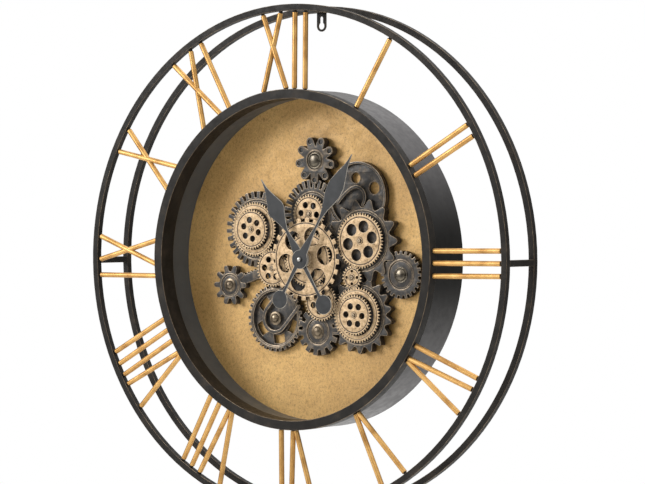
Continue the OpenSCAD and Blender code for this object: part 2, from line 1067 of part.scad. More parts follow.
module minute_arbor() {
  color("silver")
    rod_y(arbor_r, minute_y - 1.5, dial_back_y + 5);
}

// Domed nut on the end of the minute arbor
module hand_nut() {
  nut_h = 2.6;
  color("ivory")
    difference() {
      union() {
        rod_y(3.4, minute_y - nut_h, minute_y);
        translate([0, minute_y - nut_h, 0])
          dome(3.4, 1.4);
      }
      rod_y(arbor_r, minute_y - 1.5, minute_y + 1);
    }
}

front_ring();
rear_ring();
ring_spacers();
hanger_plate();
bezel();
drum_wall();
dial_liner();
dial_plate();
numeral_1();
numeral_2();
numeral_3();
numeral_4();
numeral_5();
numeral_6();
numeral_7();
numeral_8();
numeral_9();
numeral_10();
numeral_11();
numeral_12();
gear_backplate();
dark_top();
dark_comb();
dark_crescent();
dark_star();
dark_right();
dark_lower();
dark_bottom();
dark_window();
dark_left();
dark_upper();
dome_caps();
gear_posts();
dial_tabs();
dial_screws();
movement_case();
shaft_bush();
bush_nut();
motor_case();
battery_box();
battery_cells();
drive_shaft();
centre_gear();
centre_wheel();
centre_sleeve();
upper_gear();
left_gear();
lower_gear();
left_ring_gear();
left_front_gear();
right_ring_gear();
right_front_gear();
idler_gear();
right_gear();
hour_hand();
hour_tube();
minute_hand();
minute_arbor();
hand_nut();
setting_knob();
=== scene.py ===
import math

import bmesh
import bpy
from mathutils import Matrix, Vector


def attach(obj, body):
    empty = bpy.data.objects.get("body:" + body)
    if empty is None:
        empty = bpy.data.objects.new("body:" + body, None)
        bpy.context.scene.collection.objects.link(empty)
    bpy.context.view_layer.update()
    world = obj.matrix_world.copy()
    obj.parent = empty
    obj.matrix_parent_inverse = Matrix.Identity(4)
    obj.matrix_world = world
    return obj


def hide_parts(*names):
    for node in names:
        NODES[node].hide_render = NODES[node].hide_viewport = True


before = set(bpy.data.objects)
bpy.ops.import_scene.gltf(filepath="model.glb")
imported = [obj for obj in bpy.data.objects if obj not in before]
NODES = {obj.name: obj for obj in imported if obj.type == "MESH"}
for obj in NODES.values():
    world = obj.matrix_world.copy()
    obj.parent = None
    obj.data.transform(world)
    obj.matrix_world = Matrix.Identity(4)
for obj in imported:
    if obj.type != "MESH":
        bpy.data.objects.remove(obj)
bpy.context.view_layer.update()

MM = 0.001
scene = bpy.context.scene


# ---------------------------------------------------------------- camera, light and surroundings

CAMERA_AT = (2.740744, -3.793700, 0.088126)
CAMERA_AZIMUTH = math.radians(35.50817)
CAMERA_ELEVATION = math.radians(0.74579)
CAMERA_LENS = 165.762


def make_camera():
    """View from the right of the clock, which isn't in the middle of the frame."""
    data = bpy.data.cameras.new("camera")
    data.sensor_fit = "HORIZONTAL"
    data.sensor_width = 36
    data.lens = CAMERA_LENS
    data.clip_start = 0.1
    data.clip_end = 50
    camera = bpy.data.objects.new("camera", data)
    scene.collection.objects.link(camera)
    az, el = CAMERA_AZIMUTH, CAMERA_ELEVATION
    back = Vector((math.sin(az) * math.cos(el), -math.cos(az) * math.cos(el), math.sin(el)))
    right = Vector((math.cos(az), math.sin(az), 0))
    up = back.cross(right)
    turn = Matrix((right, up, back)).transposed().to_4x4()
    camera.matrix_world = Matrix.Translation(CAMERA_AT) @ turn
    scene.camera = camera


def area_light(name, place, target, size, power, colour=(1, 1, 1)):
    data = bpy.data.lights.new(name, "AREA")
    data.shape = "RECTANGLE"
    data.size, data.size_y = size
    data.energy = power
    data.color = colour
    light = bpy.data.objects.new(name, data)
    scene.collection.objects.link(light)
    light.location = place
    light.rotation_mode = "QUATERNION"
    light.rotation_quaternion = (Vector(target) - Vector(place)).to_track_quat("-Z", "Y")


# Strength of the sky at eye level, and straight above and below
SKY_LOW, SKY_HIGH = 0.12, 1.3


def make_surroundings():
    """White studio: pure white behind the clock, and a softer sky that lights it."""
    world = bpy.data.worlds.new("studio")
    scene.world = world
    world.use_nodes = True
    tree = world.node_tree
    tree.nodes.clear()
    output = tree.nodes.new("ShaderNodeOutputWorld")
    seen = tree.nodes.new("ShaderNodeBackground")
    seen.inputs["Color"].default_value = (1, 1, 1, 1)
    seen.inputs["Strength"].default_value = 1.0
    lit = tree.nodes.new("ShaderNodeBackground")
    lit.inputs["Color"].default_value = (1.0, 0.99, 0.97, 1)
    way = tree.nodes.new("ShaderNodeTexCoord")
    split = tree.nodes.new("ShaderNodeSeparateXYZ")
    height = tree.nodes.new("ShaderNodeMath")
    height.operation = "ABSOLUTE"
    rise = tree.nodes.new("ShaderNodeMapRange")
    rise.interpolation_type = "SMOOTHSTEP"
    for socket, value in (
        ("From Min", 0.1), ("From Max", 0.6), ("To Min", SKY_LOW), ("To Max", SKY_HIGH),
    ):
        rise.inputs[socket].default_value = value
    tree.links.new(way.outputs["Generated"], split.inputs[0])
    tree.links.new(split.outputs["Z"], height.inputs[0])
    tree.links.new(height.outputs[0], rise.inputs["Value"])
    tree.links.new(rise.outputs["Result"], lit.inputs["Strength"])
    path = tree.nodes.new("ShaderNodeLightPath")
    mix = tree.nodes.new("ShaderNodeMixShader")
    tree.links.new(path.outputs["Is Camera Ray"], mix.inputs[0])
    tree.links.new(lit.outputs[0], mix.inputs[1])
    tree.links.new(seen.outputs[0], mix.inputs[2])
    tree.links.new(mix.outputs[0], output.inputs[0])
    scene.view_settings.view_transform = "Standard"
    scene.view_settings.look = "None"


def make_lights():
    area_light("key", (-2.5, -2.9, 1.15), (0, 0, 0), (1.5, 1.5), 84)
    area_light("front_left", (-2.4, -3.4, 0.0), (0, 0, 0), (2.4, 2.4), 13)
    area_light("top", (0.4, 0.6, 2.8), (0, 0, 0), (3.0, 2.5), 38)
    area_light("right", (3.0, -1.5, 0.9), (0, 0, 0), (1.2, 2.0), 16, (0.92, 0.96, 1.0))


def make_floor():
    mesh = bpy.data.meshes.new("floor")
    reach, level = 2.2, -0.8
    corners = [(x * reach, y * reach, level) for x, y in ((-1, -1), (1, -1), (1, 1), (-1, 1))]
    mesh.from_pydata(corners, [], [(0, 1, 2, 3)])
    floor = bpy.data.objects.new("floor", mesh)
    scene.collection.objects.link(floor)
    paint = Paint("floor_paint", roughness=0.8)
    shade = paint.ramp(paint.noise(3, detail=2), [(0.3, (0.80, 0.80, 0.79)), (0.7, (0.84, 0.84, 0.83))])
    paint.colour(shade)
    mesh.materials.append(paint.material)


# ---------------------------------------------------------------- materials


class Paint:
    """The node tree of one material. Its patterns are laid out in the object's own metres."""

    def __init__(self, name, roughness=0.5, metallic=0.0, specular=0.5, **fixed):
        self.material = bpy.data.materials.new(name)
        self.material.use_nodes = True
        self.tree = self.material.node_tree
        self.shader = self.tree.nodes["Principled BSDF"]
        self.shader.inputs["Roughness"].default_value = roughness
        self.shader.inputs["Metallic"].default_value = metallic
        self.shader.inputs["Specular IOR Level"].default_value = specular
        for socket, value in fixed.items():
            self.shader.inputs[socket.replace("_", " ")].default_value = value
        self.place = self.node("ShaderNodeTexCoord").outputs["Object"]

    def node(self, kind, **settings):
        made = self.tree.nodes.new(kind)
        for key, value in settings.items():
            setattr(made, key, value)
        return made

    def link(self, value, socket):
        if isinstance(value, bpy.types.NodeSocket):
            self.tree.links.new(value, socket)
        elif isinstance(value, tuple) and len(value) == 3 and socket.type == "RGBA":
            socket.default_value = (*value, 1)
        else:
            socket.default_value = value

    def stretch(self, scale, turn=(0, 0, 0)):
        mapping = self.node("ShaderNodeMapping")
        self.link(self.place, mapping.inputs["Vector"])
        mapping.inputs["Scale"].default_value = scale
        mapping.inputs["Rotation"].default_value = turn
        return mapping.outputs["Vector"]

    def noise(self, scale, detail=3, roughness=0.55, at=None):
        made = self.node("ShaderNodeTexNoise")
        self.link(self.place if at is None else at, made.inputs["Vector"])
        made.inputs["Scale"].default_value = scale
        made.inputs["Detail"].default_value = detail
        made.inputs["Roughness"].default_value = roughness
        return made.outputs["Fac"]

    def ramp(self, value, stops):
        """Colours or greys along a value; stops are pairs of place and colour."""
        made = self.node("ShaderNodeValToRGB")
        elements = made.color_ramp.elements
        while len(elements) < len(stops):
            elements.new(0.5)
        for element, (position, colour) in zip(elements, stops):
            element.position = position
            if not isinstance(colour, tuple):
                colour = (colour, colour, colour)
            element.color = (*colour, 1)
        self.link(value, made.inputs["Fac"])
        return made.outputs["Color"]

    def mix(self, factor, a, b, kind="MIX"):
        made = self.node("ShaderNodeMix", data_type="RGBA", blend_type=kind)
        self.link(factor, made.inputs[0])
        self.link(a, made.inputs[6])
        self.link(b, made.inputs[7])
        return made.outputs[2]

    def maths(self, operation, a, b=0.0):
        made = self.node("ShaderNodeMath", operation=operation)
        self.link(a, made.inputs[0])
        self.link(b, made.inputs[1])
        return made.outputs[0]

    def span(self, value, low, high, out_low=0.0, out_high=1.0):
        """value, taken from the range low..high to out_low..out_high, with soft ends."""
        made = self.node("ShaderNodeMapRange", interpolation_type="SMOOTHSTEP")
        self.link(value, made.inputs["Value"])
        made.inputs["From Min"].default_value = low
        made.inputs["From Max"].default_value = high
        made.inputs["To Min"].default_value = out_low
        made.inputs["To Max"].default_value = out_high
        return made.outputs["Result"]

    def split(self):
        made = self.node("ShaderNodeSeparateXYZ")
        self.link(self.place, made.inputs[0])
        return made.outputs

    def colour(self, value):
        self.link(value, self.shader.inputs["Base Color"])

    def rough(self, value):
        self.link(value, self.shader.inputs["Roughness"])

    def bump(self, height, strength, depth):
        made = self.node("ShaderNodeBump")
        made.inputs["Strength"].default_value = strength
        made.inputs["Distance"].default_value = depth
        self.link(height, made.inputs["Height"])
        self.link(made.outputs["Normal"], self.shader.inputs["Normal"])


def iron_paint():
    p = Paint("iron_black", roughness=0.46, specular=0.13)
    blotch = p.noise(38, detail=5, roughness=0.6)
    p.colour(p.ramp(blotch, [
        (0.3, (0.010, 0.0085, 0.0075)),
        (0.55, (0.018, 0.016, 0.014)),
        (0.75, (0.036, 0.028, 0.021)),
    ]))
    p.rough(p.span(p.noise(160, detail=3), 0.3, 0.7, 0.4, 0.55))
    p.bump(p.noise(700, detail=2), 0.25, 0.0002)
    return p.material


def iron_wear_and_highlight_paint():
    p = Paint("iron_wear_and_highlight", roughness=0.38, metallic=0.6)
    # Rubbed wear on the arrises, painted lighter still as a highlight along the edges.
    rub_and_highlight = p.noise(60, detail=6, roughness=0.7)
    p.colour(p.ramp(rub_and_highlight, [
        (0.36, (0.035, 0.027, 0.021)),
        (0.52, (0.13, 0.095, 0.062)),
        (0.7, (0.26, 0.20, 0.13)),
    ]))
    p.bump(p.noise(900, detail=2), 0.3, 0.0001)
    return p.material


def drum_paint():
    p = Paint("drum_grey", roughness=0.36, metallic=0.8, specular=0.3)
    blotch = p.noise(22, detail=6, roughness=0.6)
    steel = p.ramp(blotch, [(0.3, (0.072, 0.069, 0.072)), (0.7, (0.100, 0.096, 0.099))])
    # Painted reflection and shade: the wall is painted darker round its middle height and lighter towards
    # its top and bottom, where it would reflect the top light and the floor.
    p.colour(p.mix(p.span(p.maths("ABSOLUTE", p.split()[2]), 0.02, 0.2), (0.030, 0.029, 0.028), steel))
    p.rough(p.span(p.noise(90, detail=4), 0.3, 0.7, 0.33, 0.46))
    p.bump(p.noise(500, detail=2), 0.2, 0.0002)
    return p.material


def liner_paint():
    p = Paint("liner_grey", roughness=0.45, metallic=0.0)
    blotch = p.noise(14, detail=5, roughness=0.6)
    p.colour(p.ramp(blotch, [(0.3, (0.050, 0.056, 0.060)), (0.7, (0.070, 0.078, 0.083))]))
    p.rough(p.span(p.noise(70, detail=3), 0.3, 0.7, 0.38, 0.5))
    return p.material


def dial_paint():
    p = Paint("dial_gold", roughness=0.5, metallic=0.25)
    cloud = p.ramp(p.noise(8, detail=6, roughness=0.6), [
        (0.30, (0.44, 0.255, 0.082)),
        (0.7, (0.65, 0.405, 0.145)),
    ])
    mottle = p.ramp(p.noise(200, detail=7, roughness=0.8), [(0.32, 0.30), (0.46, 0.92), (0.68, 1.2)])
    warm = p.mix(0.75, cloud, mottle, "MULTIPLY")
    fibres = p.noise(1, detail=5, roughness=0.85, at=p.stretch((700, 700, 300), (0, 0.5, 0)))
    specks = p.ramp(fibres, [(0.34, 0.25), (0.46, 1.0)])
    gold = p.mix(0.85, warm, specks, "MULTIPLY")
    board = p.ramp(p.noise(300, detail=5, roughness=0.7), [
        (0.35, (0.050, 0.034, 0.022)),
        (0.65, (0.085, 0.058, 0.038)),
    ])
    p.colour(p.mix(p.span(p.split()[1], 0.0304, 0.0309), gold, board))
    p.rough(p.span(p.noise(60, detail=4), 0.3, 0.7, 0.44, 0.58))
    p.bump(p.noise(350, detail=3), 0.2, 0.0002)
    return p.material


def rod_paint():
    p = Paint("gold_rod", roughness=0.42, metallic=0.7)
    tone = p.ramp(p.noise(40, detail=2, roughness=0.5), [
        (0.3, (0.38, 0.195, 0.055)),
        (0.5, (0.54, 0.305, 0.095)),
        (0.7, (0.64, 0.38, 0.13)),
    ])
    p.colour(tone)
    p.rough(p.span(p.noise(120, detail=2), 0.3, 0.7, 0.38, 0.46))
    p.bump(p.noise(300, detail=1), 0.05, 0.0001)
    return p.material


def pale_paint():
    p = Paint("pale_gold", roughness=0.5, metallic=0.3, specular=0.3)
    tone = p.ramp(p.noise(190, detail=5, roughness=0.7), [
        (0.32, (0.11, 0.064, 0.032)),
        (0.43, (0.44, 0.30, 0.165)),
        (0.66, (0.66, 0.48, 0.29)),
    ])
    p.colour(tone)
    p.rough(p.span(p.noise(400, detail=3), 0.3, 0.7, 0.44, 0.58))
    p.bump(p.noise(900, detail=3), 0.3, 0.0001)
    return p.material


def groove_paint():
    p = Paint("pale_groove", roughness=0.55, metallic=0.3)
    # Dark brown on the hub bosses and in the sunk groove; on the lower walls of the teeth and in the gaps
    # between them it is painted shade.
    p.colour(p.ramp(p.noise(240, detail=4), [(0.3, (0.030, 0.017, 0.009)), (0.7, (0.10, 0.062, 0.035))]))
    return p.material


def pale_edge_paint():
    p = Paint("pale_edge", roughness=0.42, metallic=0.3, specular=0.4)
    p.colour(p.ramp(p.noise(200, detail=4, roughness=0.7), [
        (0.3, (0.50, 0.37, 0.23)),
        (0.6, (0.82, 0.67, 0.47)),
    ]))
    return p.material


def cast_paint():
    p = Paint("dark_cast", roughness=0.48, metallic=0.2, specular=0.35)
    tone = p.ramp(p.noise(90, detail=6, roughness=0.65), [
        (0.32, (0.022, 0.021, 0.020)),
        (0.5, (0.046, 0.042, 0.039)),
        (0.66, (0.125, 0.096, 0.066)),
    ])
    p.colour(tone)
    p.rough(p.span(p.noise(300, detail=3), 0.3, 0.7, 0.38, 0.58))
    p.bump(p.noise(420, detail=4), 0.4, 0.0002)
    return p.material


def cast_web_paint():
    p = Paint("dark_web", roughness=0.55, metallic=0.2)
    p.colour(p.ramp(p.noise(120, detail=5), [(0.3, (0.012, 0.012, 0.012)), (0.7, (0.034, 0.031, 0.028))]))
    p.bump(p.noise(420, detail=4), 0.4, 0.0002)
    return p.material


def dark_dome_paint():
    p = Paint("dark_dome", roughness=0.26, metallic=0.85)
    p.colour(p.ramp(p.noise(130, detail=5, roughness=0.7), [
        (0.35, (0.075, 0.065, 0.052)),
        (0.7, (0.20, 0.17, 0.125)),
    ]))
    return p.material


def cast_edge_paint():
    p = Paint("cast_edge", roughness=0.4, metallic=0.6)
    p.colour(p.ramp(p.noise(150, detail=5, roughness=0.7), [
        (0.34, (0.12, 0.092, 0.066)),
        (0.50, (0.34, 0.265, 0.185)),
        (0.68, (0.56, 0.44, 0.31)),
    ]))
    return p.material


def bronze_paint():
    p = Paint("bronze", roughness=0.34, metallic=0.8)
    p.colour(p.ramp(p.noise(130, detail=5, roughness=0.7), [
        (0.3, (0.05, 0.038, 0.026)),
        (0.55, (0.20, 0.155, 0.105)),
        (0.75, (0.44, 0.34, 0.23)),
    ]))
    p.bump(p.noise(700, detail=3), 0.3, 0.0002)
    return p.material


def hand_paint():
    p = Paint("hand_grey", roughness=0.45, metallic=0.2, specular=0.3)
    p.colour(p.ramp(p.noise(80, detail=5, roughness=0.6), [
        (0.3, (0.017, 0.018, 0.019)),
        (0.7, (0.034, 0.035, 0.037)),
    ]))
    p.bump(p.noise(800, detail=2), 0.2, 0.0001)
    return p.material


def hand_edge_highlight_paint():
    p = Paint("hand_edge_highlight", roughness=0.45, metallic=0.1)
    # Painted highlight: the hands' rounded edges are painted much lighter than their faces.
    p.colour(p.ramp(p.noise(140, detail=4, roughness=0.7), [
        (0.35, (0.20, 0.18, 0.15)),
        (0.65, (0.52, 0.47, 0.40)),
    ]))
    return p.material


def steel_paint():
    p = Paint("steel", roughness=0.3, metallic=1.0)
    p.colour(p.ramp(p.noise(200, detail=4), [(0.3, (0.36, 0.35, 0.33)), (0.7, (0.58, 0.56, 0.53))]))
    p.bump(p.noise(900, detail=2), 0.2, 0.0001)
    return p.material


def brass_paint():
    p = Paint("brass", roughness=0.3, metallic=1.0)
    p.colour(p.ramp(p.noise(200, detail=4), [(0.3, (0.50, 0.34, 0.14)), (0.7, (0.74, 0.55, 0.26))]))
    p.bump(p.noise(900, detail=2), 0.2, 0.0001)
    return p.material


def plastic_paint():
    p = Paint("case_plastic", roughness=0.5)
    p.colour(p.ramp(p.noise(60, detail=3), [(0.3, (0.017, 0.017, 0.018)), (0.7, (0.024, 0.024, 0.025))]))
    p.bump(p.noise(1500, detail=2), 0.35, 0.0001)
    return p.material


def cell_paint():
    p = Paint("cell", roughness=0.35, metallic=0.3)
    p.colour(p.ramp(p.noise(90, detail=2), [(0.3, (0.030, 0.055, 0.10)), (0.7, (0.040, 0.070, 0.13))]))
    p.bump(p.noise(1200, detail=2), 0.1, 0.0001)
    return p.material


# ---------------------------------------------------------------- outlines on the face, in mm


def polar(radius, angle):
    """Point on the face at an angle clockwise from 12 o'clock."""
    return radius * math.sin(math.radians(angle)), radius * math.cos(math.radians(angle))


def shift(points, centre):
    return [(x + centre[0], z + centre[1]) for x, z in points]


def circle(radius, centre=(0, 0), sides=72):
    return shift([polar(radius, 360 * k / sides) for k in range(sides)], centre)


def on_circle(count, radius, first):
    return [polar(radius, first + 360 * k / count) for k in range(count)]


def turned(points, angle):
    c, s = math.cos(math.radians(angle)), math.sin(math.radians(angle))
    return [(x * c + z * s, z * c - x * s) for x, z in points]


def teeth_outline(teeth, root, tip, root_w, tip_w, phase):
    """Straight teeth; their widths at root and tip are shares of the pitch."""
    points = []
    half = 180 / teeth
    for i in range(teeth):
        a = phase + i * 360 / teeth
        points += [polar(root, a - root_w * half), polar(tip, a - tip_w * half)]
        points += [polar(tip, a + tip_w * half), polar(root, a + root_w * half)]
    return points


def lobe_outline(teeth, root, tip, w, phase):
    """Teeth with round ends of radius w."""
    points = []
    for i in range(teeth):
        a = phase + i * 360 / teeth
        half = math.degrees(math.asin(w * 1.1 / root))
        points.append(polar(root, a - half))
        points += shift([polar(w, a + k) for k in range(-90, 91, 18)], polar(tip - w, a))
        points.append(polar(root, a + half))
    return points


def star_outline(teeth, root, tip, phase):
    """Pointed teeth with hollow flanks."""
    points = []
    half, depth = 180 / teeth, tip - root
    flank = [(0.06, 0.78), (0.35, 0.56), (0.7, 0.36), (0.92, 0.2), (1, 0.06)]
    for i in range(teeth):
        a = phase + i * 360 / teeth
        points.append(polar(root, a - half))
        points += [polar(root + depth * rise, a - share * half) for rise, share in flank]
        points += [polar(root + depth * rise, a + share * half) for rise, share in reversed(flank)]
    return points


def cut_back(points, centre, radius):
    """Outline about the origin, drawn in wherever it would run into a circle."""
    kept = []
    for x, z in points:
        share = 1.0
        while math.hypot(x * share - centre[0], z * share - centre[1]) < radius:
            share -= 0.005
        kept.append((x * share, z * share))
    return kept


def ring_sector(inner, outer, angle, width):
    """Window between two radii, with its middle at angle and about width across."""
    a0 = math.degrees(math.asin(width / 2 / inner))
    a1 = math.degrees(math.asin(width / 2 / outer))
    steps = [k / 5 - 1 for k in range(11)]
    return [polar(inner, angle + a0 * s) for s in steps] + [polar(outer, angle - a1 * s) for s in steps]


def smooth_path(points, steps=8):
    """Catmull-Rom path through the points."""
    def between(a, b, c, d, t):
        square, cube = 2 * a - 5 * b + 4 * c - d, 3 * b - a - 3 * c + d
        return 0.5 * (2 * b + (c - a) * t + square * t ** 2 + cube * t ** 3)

    path = []
    ends = [points[0], *points, points[-1]]
    for four in zip(ends, ends[1:], ends[2:], ends[3:]):
        for k in range(steps):
            path.append(tuple(between(*values, k / steps) for values in zip(*four)))
    return [*path, points[-1]]


def ribbon(path, width):
    """Outline of a strip of the given width along a path."""
    left, right = [], []
    for i, (x, z) in enumerate(path):
        (x0, z0), (x1, z1) = path[max(i - 1, 0)], path[min(i + 1, len(path) - 1)]
        length = math.hypot(x1 - x0, z1 - z0)
        sx, sz = -(z1 - z0) / length * width / 2, (x1 - x0) / length * width / 2
        left.append((x + sx, z + sz))
        right.append((x - sx, z - sz))
    return left + right[::-1]


# ---------------------------------------------------------------- pieces


class Piece:
    """A mesh put together from plates, lathed rounds and bars. Slot 0 is the face, 1 the arris."""

    def __init__(self, name, body, nodes, slot, materials):
        self.name, self.body, self.nodes, self.slot = name, body, nodes, slot
        self.materials = materials
        self.mesh = bmesh.new()

    def plate(self, outline, front, back, holes=(), centre=(0, 0), arris=0.3, face=0, wall=0, edge=1):
        """Flat plate between two depths, with rounded arrises."""
        curve = bpy.data.curves.new("plate", "CURVE")
        curve.dimensions = "2D"
        curve.fill_mode = "BOTH"
        curve.bevel_depth = arris
        curve.bevel_resolution = 1
        curve.offset = -arris
        curve.extrude = max((back - front) / 2 - arris, 0.01)
        for loop in [outline, *holes]:
            spline = curve.splines.new("POLY")
            spline.points.add(len(loop) - 1)
            for point, (x, z) in zip(spline.points, loop):
                point.co = (x, z, 0, 1)
            spline.use_cyclic_u = True
        holder = bpy.data.objects.new("plate", curve)
        made = bpy.data.meshes.new_from_object(holder)
        bpy.data.objects.remove(holder)
        bpy.data.curves.remove(curve)
        middle = (front + back) / 2
        for polygon in made.polygons:
            lean = abs(polygon.normal.z)
            polygon.material_index = face if lean > 0.98 else wall if lean < 0.1 else edge
        turn = Matrix(((1, 0, 0, centre[0]), (0, 0, -1, middle), (0, 1, 0, centre[1]), (0, 0, 0, 1)))
        made.transform(Matrix.Scale(MM, 4) @ turn)
        self.mesh.from_mesh(made)
        bpy.data.meshes.remove(made)
        return self

    def ring(self, outer, inner, front, back, centre=(0, 0), arris=0.3, **slots):
        return self.plate(circle(outer), front, back, [circle(inner)], centre, arris, **slots)

    def lathe(self, profile, centre, sides=48, face=0):
        """Solid turned about an axis along Y. The profile runs (radius, depth) from the front."""
        rows = []
        for radius, depth in profile:
            ring = []
            for k in range(sides):
                x, z = polar(radius, 360 * k / sides)
                ring.append(self.mesh.verts.new(((centre[0] + x) * MM, depth * MM, (centre[1] + z) * MM)))
            rows.append(ring)
        for near, far in zip(rows, rows[1:]):
            for k in range(sides):
                j = (k + 1) % sides
                self.mesh.faces.new((near[k], far[k], far[j], near[j])).material_index = face
        self.mesh.faces.new(rows[0][::-1]).material_index = face
        self.mesh.faces.new(rows[-1]).material_index = face
        return self

    def bar(self, start, end, radius, depth, lean=0.0, sides=32, face=0):
        """Round bar between two points of the face; lean is how far its start stands forward."""
        a = Vector((start[0], depth - lean, start[1])) * MM
        b = Vector((end[0], depth, end[1])) * MM
        turn = (b - a).to_track_quat("Z", "Y").to_matrix().to_4x4()
        made = bmesh.ops.create_cone(
            self.mesh, cap_ends=True, segments=sides, radius1=radius * MM, radius2=radius * MM,
            depth=(b - a).length, matrix=Matrix.Translation((a + b) / 2) @ turn)
        for vertex in made["verts"]:
            for polygon in vertex.link_faces:
                polygon.material_index = face
        return self

    def finish(self, smooth=35):
        """Turns the plates into one object that rides on its body. smooth is the crease angle."""
        bmesh.ops.remove_doubles(self.mesh, verts=self.mesh.verts, dist=1e-7)
        mesh = bpy.data.meshes.new(self.name)
        self.mesh.to_mesh(mesh)
        self.mesh.free()
        for material in self.materials:
            mesh.materials.append(material)
        for polygon in mesh.polygons:
            polygon.use_smooth = True
        mesh.set_sharp_from_angle(angle=math.radians(smooth))
        made = bpy.data.objects.new(self.name, mesh)
        scene.collection.objects.link(made)
        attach(made, self.body)
        if self.nodes:
            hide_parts(*self.nodes)
        return made


# ---------------------------------------------------------------- numerals

# The rods run from the outer radius of the bezel to the inner radius of the hoop
BEZEL_R, HOOP_IN_R = 267, 390
# Depth of the rods' axes, their radius, and the radius of the weld stubs at their ends
ROD_DEPTH, ROD_R, STUB_R = -36.5, 4.2, 2.9
# The feet stand this far forward of the heads
ROD_LEAN = 1.5
# Rods of a numeral lie this far before and behind the middle, in turn, so crossing rods differ
ROD_STAGGER = 0.35
# Each rod of a numeral: how far its foot and its head stand clockwise of the hour's own line
NUMERAL_RODS = {
    1: [(-10, -8)],
    2: [(-14, -15), (4, 5)],
    3: [(-16, -17), (2.5, 2), (22, 21)],
    4: [(-6, -22), (17, -3), (22, 43)],
    5: [(6, -25), (11, 24)],
    6: [(-10, -46), (-5, 0), (18.5, 18.5)],
    7: [(-21, -60), (-16, -14), (7, 5), (27, 24)],
    8: [(-25, -60), (-20, -14), (3, 3), (22, 23), (41, 44)],
    9: [(-29, -29), (-11, 36), (29, -4)],
    10: [(-28, 17), (15, -25)],
    11: [(-45, -6), (-4, -49), (15, 17)],
    12: [(-52, -20), (-8, -57), (7, 7), (28, 28)],
}


def rod_point(foot, head, radius):
    """Where a rod's axis crosses a circle about the clock's own axis."""
    span = HOOP_IN_R - BEZEL_R
    low, high = -0.2, 1.2
    for _ in range(40):
        t = (low + high) / 2
        if math.hypot(foot + (head - foot) * t, BEZEL_R + span * t) < radius:
            low = t
        else:
            high = t
    return foot + (head - foot) * low, BEZEL_R + span * low


def make_numerals(gold, black):
    for hour, rods in NUMERAL_RODS.items():
        piece = Piece(f"rods_{hour}", "frame", [f"numeral_{hour}"], "gold_rod", [gold, black])
        for i, (foot, head) in enumerate(rods):
            radii = (BEZEL_R - 0.6, BEZEL_R + 0.9, HOOP_IN_R - 3, HOOP_IN_R + 0.4)
            ends = [rod_point(foot, head, r) for r in radii]
            stub_in, gold_in, gold_out, stub_out = turned(ends, 30 * hour)
            depth = ROD_DEPTH + (ROD_STAGGER if i % 2 == 0 else -ROD_STAGGER)
            piece.bar(gold_in, gold_out, ROD_R - 0.05, depth, lean=ROD_LEAN)
            piece.bar(stub_in, gold_in, STUB_R, depth - ROD_LEAN, face=1)
            piece.bar(gold_out, stub_out, STUB_R, depth, face=1)
        made = piece.finish()
        arris = made.modifiers.new("arris", "BEVEL")
        arris.width = 0.6 * MM
        arris.segments = 2
        arris.limit_method = "ANGLE"
        arris.angle_limit = math.radians(60)


# ---------------------------------------------------------------- turning gears

MODULE = 1.625
TEETH_LARGE, TEETH_SMALL, TEETH_IDLER, TEETH_FRONT = 52, 36, 21, 38
# Front faces of the train, of the small front gears and of the coarse gear, and a gear's thickness
LAYER_Y, FRONT_Y, COARSE_Y, GEAR_T = 7.5, 0.0, 0.5, 4.0
# Depth of the groove in a gear's face
RELIEF = 0.7
BORE = 2.55
# Directions of the next gear from the one before it
TO_UPPER, TO_LEFT, TO_LOWER = 1.4, -102, 159.6
TO_LEFT_PAIR, TO_RIGHT_PAIR, TO_IDLER, TO_RIGHT = -30.7, 105.6, -8.8, 14.8


def pitch_r(teeth):
    return MODULE * teeth / 2


def rest_angle(phase, driver, driven, direction):
    """Rest angle of a gear that meshes with one already placed in that direction."""
    return direction + 180 + 180 / driven - (phase - direction) * driver / driven


def place(start, driver, driven, direction):
    """Centre of a gear that meshes with one at start, in a direction clockwise from 12 o'clock."""
    x, z = polar(pitch_r(driver) + pitch_r(driven), direction)
    return start[0] + x, start[1] + z


def fine_outline(teeth, phase):
    """Outline of a gear of the train, with its root and tip at their clearance from the pitch circle."""
    return teeth_outline(teeth, pitch_r(teeth) - 2.05, pitch_r(teeth) + 1.45, 0.62, 0.2, phase)


CENTRE = (0, 0)
UPPER_AT = place(CENTRE, TEETH_LARGE, TEETH_SMALL, TO_UPPER)
LEFT_AT = place(CENTRE, TEETH_LARGE, TEETH_SMALL, TO_LEFT)
LOWER_AT = place(CENTRE, TEETH_LARGE, TEETH_SMALL, TO_LOWER)
LEFT_PAIR_AT = place(LEFT_AT, TEETH_SMALL, TEETH_LARGE, TO_LEFT_PAIR)
RIGHT_PAIR_AT = place(LOWER_AT, TEETH_SMALL, TEETH_LARGE, TO_RIGHT_PAIR)
IDLER_AT = place(RIGHT_PAIR_AT, TEETH_LARGE, TEETH_IDLER, TO_IDLER)
RIGHT_AT = place(IDLER_AT, TEETH_IDLER, TEETH_LARGE, TO_RIGHT)
UPPER_PHASE = rest_angle(0, TEETH_LARGE, TEETH_SMALL, TO_UPPER)
LEFT_PHASE = rest_angle(0, TEETH_LARGE, TEETH_SMALL, TO_LEFT)
LOWER_PHASE = rest_angle(0, TEETH_LARGE, TEETH_SMALL, TO_LOWER)
LEFT_PAIR_PHASE = rest_angle(LEFT_PHASE, TEETH_SMALL, TEETH_LARGE, TO_LEFT_PAIR)
RIGHT_PAIR_PHASE = rest_angle(LOWER_PHASE, TEETH_SMALL, TEETH_LARGE, TO_RIGHT_PAIR)
IDLER_PHASE = rest_angle(RIGHT_PAIR_PHASE, TEETH_LARGE, TEETH_IDLER, TO_IDLER)
RIGHT_PHASE = rest_angle(IDLER_PHASE, TEETH_IDLER, TEETH_LARGE, TO_RIGHT)


